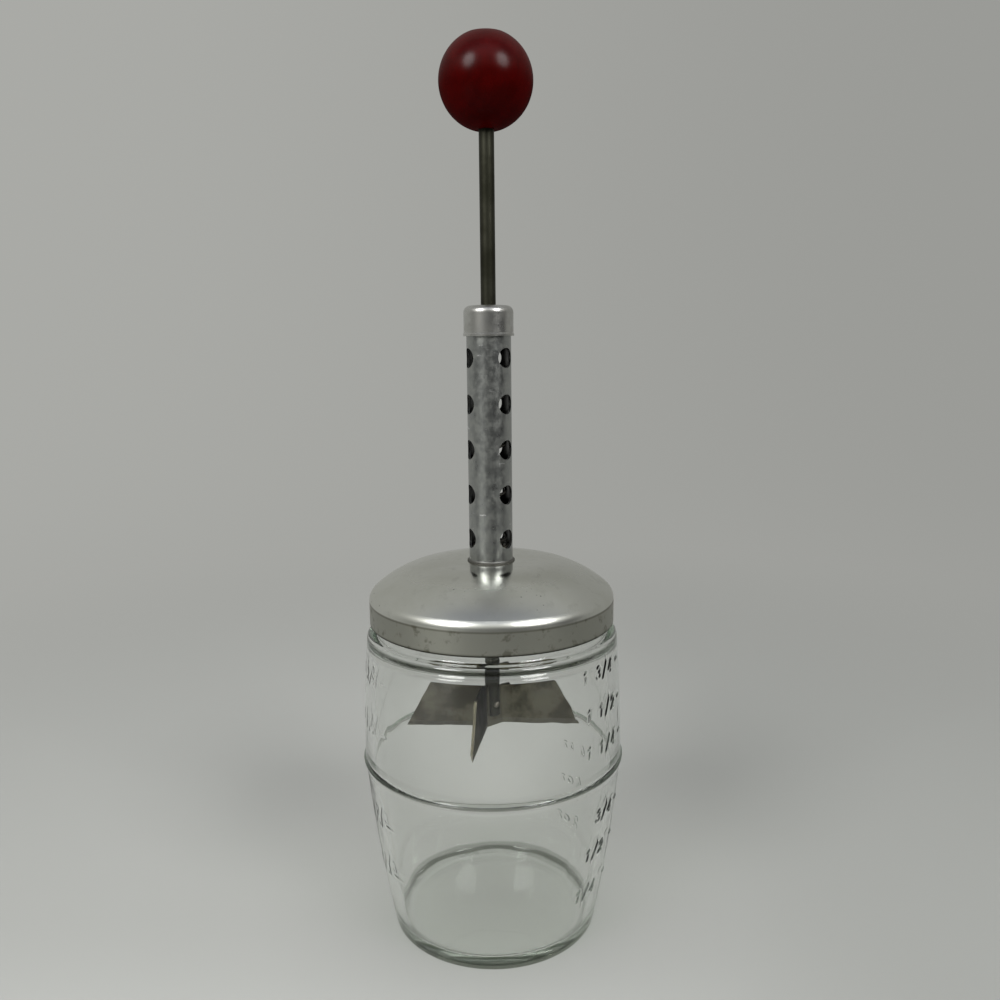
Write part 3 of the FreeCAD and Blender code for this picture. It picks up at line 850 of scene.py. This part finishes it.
def bowl_paint():
    """Plain table and wall. Near the object the sweep is matt and takes its shadow; its colour is
    painted a little paler in front and darker on the right, as painted light and shade. Further out it
    glows for all that sees it, dimmer to the right as painted shade, and metal and glass see it darker
    in front, as a dim room with a ceiling and two bright patches of table that are painted pools of
    lamplight."""
    paint = Paint("sweep_grey")
    x, y, z = paint.xyz(paint.node("ShaderNodeNewGeometry", output="Position"))
    radius = (x * x + y * y) ** 0.5
    front = y * -1.0
    camera_ray = paint.node("ShaderNodeLightPath", output="Is Camera Ray")
    mirrored_ray = camera_ray.also("Is Glossy Ray").most(camera_ray.also("Is Transmission Ray"))
    slant = x.math("ABSOLUTE") / front.most(0.02)
    # Painted light: two bright pools of lamplight on the table, seen in metal and glass
    patch = slant.ramp(0.45, 0.8) * slant.ramp(1.5, 2.4, 1.0, 0.0) * radius.ramp(0.5, 1.2, 1.0, 0.0)
    patch = patch * x.ramp(-0.5, 0.5, 1.9, 0.9)
    ceiling = z.ramp(0.5, 1.2) * 1.1
    room = x.ramp(-0.8, 0.7, 0.45, 0.14) + patch + ceiling
    in_room = front.ramp(-0.15, 0.4) * (1.0 - camera_ray)
    # Painted shade: the glow dims to the right, and brightens a little in front
    strength = x.ramp(-0.9, 0.9, 1.04, 0.84) * front.ramp(0.0, 0.16, 1.0, 1.08)
    strength = strength * (1.0 - in_room * (1.0 - room))
    glow = paint.principled(
        Base_Color=colour(0, 0, 0),
        Specular_IOR_Level=0.0,
        Emission_Color=paint.stretched(strength, *backdrop_grey),
        Emission_Strength=1.0,
    )
    # Painted light and shade: the matt floor is paler in front and darker on the right
    tone = paint.mix(front.ramp(0.0, 0.12), colour(0.355, 0.358, 0.34), colour(0.445, 0.45, 0.43))
    tone = paint.mix(x.ramp(0.0, 0.14), tone, colour(0.30, 0.304, 0.288))
    matt = paint.principled(Base_Color=tone, Specular_IOR_Level=0.0, Roughness=1.0)
    glowing = radius.ramp(0.12, 0.6) * camera_ray.most(mirrored_ray)
    return paint.finish(paint.blend(glowing, matt, glow))


def make_bowl():
    """A round table top that sweeps up into a wall."""
    table_r = bowl_r - bowl_round
    sweep = Outline(0, 0)
    sweep.line(table_r, 0, step=0.1)
    sweep.arc(bowl_r, bowl_round, (table_r, bowl_round), step=0.06)
    sweep.line(bowl_r, bowl_height, step=0.2)
    rows = sweep.points[1:]
    count = 96
    points = [(0, 0, 0)]
    for r, z in rows:
        for number in range(count):
            angle = 2 * math.pi * number / count
            points.append((r * math.cos(angle), r * math.sin(angle), z))
    faces = [(0, 1 + j, 1 + (j + 1) % count) for j in range(count)]
    for row in range(len(rows) - 1):
        a = 1 + row * count
        b = a + count
        faces += [(a + j, b + j, b + (j + 1) % count, a + (j + 1) % count) for j in range(count)]
    bowl = new_mesh("studio_sweep", points, faces)
    bowl.data.materials.append(bowl_paint())


def add_lamp(name, place, size, power, mirrored=True):
    """An oval soft box that faces the middle of the object."""
    lamp = bpy.data.lights.new(name, "AREA")
    lamp.shape = "ELLIPSE"
    lamp.size, lamp.size_y = size
    lamp.energy = power
    holder = bpy.data.objects.new(name, lamp)
    holder.location = place
    holder.rotation_euler = (Vector(place) - lamp_aim).to_track_quat("Z", "Y").to_euler()
    holder.visible_camera = False
    holder.visible_glossy = mirrored
    bpy.context.scene.collection.objects.link(holder)


def light_studio():
    """Two oval soft boxes before the object, a large lamp overhead that nothing mirrors, and a room:
    a pale window side in front, a dark strip overhead and the plain wall behind."""
    add_lamp("soft_box_left", (-0.64, -0.66, 0.85), soft_box_size, power=7.8)
    add_lamp("soft_box_right", (0.64, -0.66, 0.85), soft_box_size, power=7.4)
    add_lamp("soft_box_over", (0, -0.1, 1.6), overhead_size, power=11.5, mirrored=False)
    world = bpy.data.worlds.new("studio_room")
    bpy.context.scene.world = world
    paint = Paint("studio_room", world)
    _, y, _ = paint.xyz(paint.node("ShaderNodeTexCoord", output="Generated"))
    window_side = colour(0.66, 0.69, 0.74)
    overhead = colour(0.15, 0.165, 0.20)
    wall = colour(0.44, 0.445, 0.43)
    tone = paint.mix(y.ramp(-0.45, -0.25), window_side, overhead)
    tone = paint.mix(y.ramp(0.0, 0.16), tone, wall)
    paint.finish(paint.node("ShaderNodeBackground", None, {"Color": tone, "Strength": 1.0}))


def place_camera():
    ahead = Vector((
        math.sin(camera_yaw) * math.cos(camera_pitch),
        math.cos(camera_yaw) * math.cos(camera_pitch),
        -math.sin(camera_pitch),
    ))
    right = ahead.cross(Vector((0, 0, 1))).normalized()
    up = right.cross(ahead)
    turn = Matrix((right, up, -ahead)).transposed().to_4x4()
    lens = bpy.data.cameras.new("camera")
    lens.lens = camera_lens
    lens.sensor_width = 36
    lens.clip_start = 0.01
    camera = bpy.data.objects.new("camera", lens)
    camera.matrix_world = Matrix.Translation(camera_place) @ turn @ Matrix.Rotation(camera_roll, 4, "Z")
    bpy.context.scene.collection.objects.link(camera)
    bpy.context.scene.camera = camera


make_jar().data.materials.append(glass_paint())
spring_tones = colour(0.06, 0.058, 0.05), colour(0.03, 0.028, 0.024)
make_spring().data.materials.append(steel_paint("spring_wire_steel", *spring_tones, 0.4, rust=0.3))
dress_solids()
make_bowl()
light_studio()
place_camera()
bpy.context.scene.view_settings.view_transform = "Standard"
# Light runs a long way inside the foot's glass
bpy.context.scene.cycles.max_bounces = 24
bpy.context.scene.cycles.glossy_bounces = 16
bpy.context.scene.cycles.transmission_bounces = 24
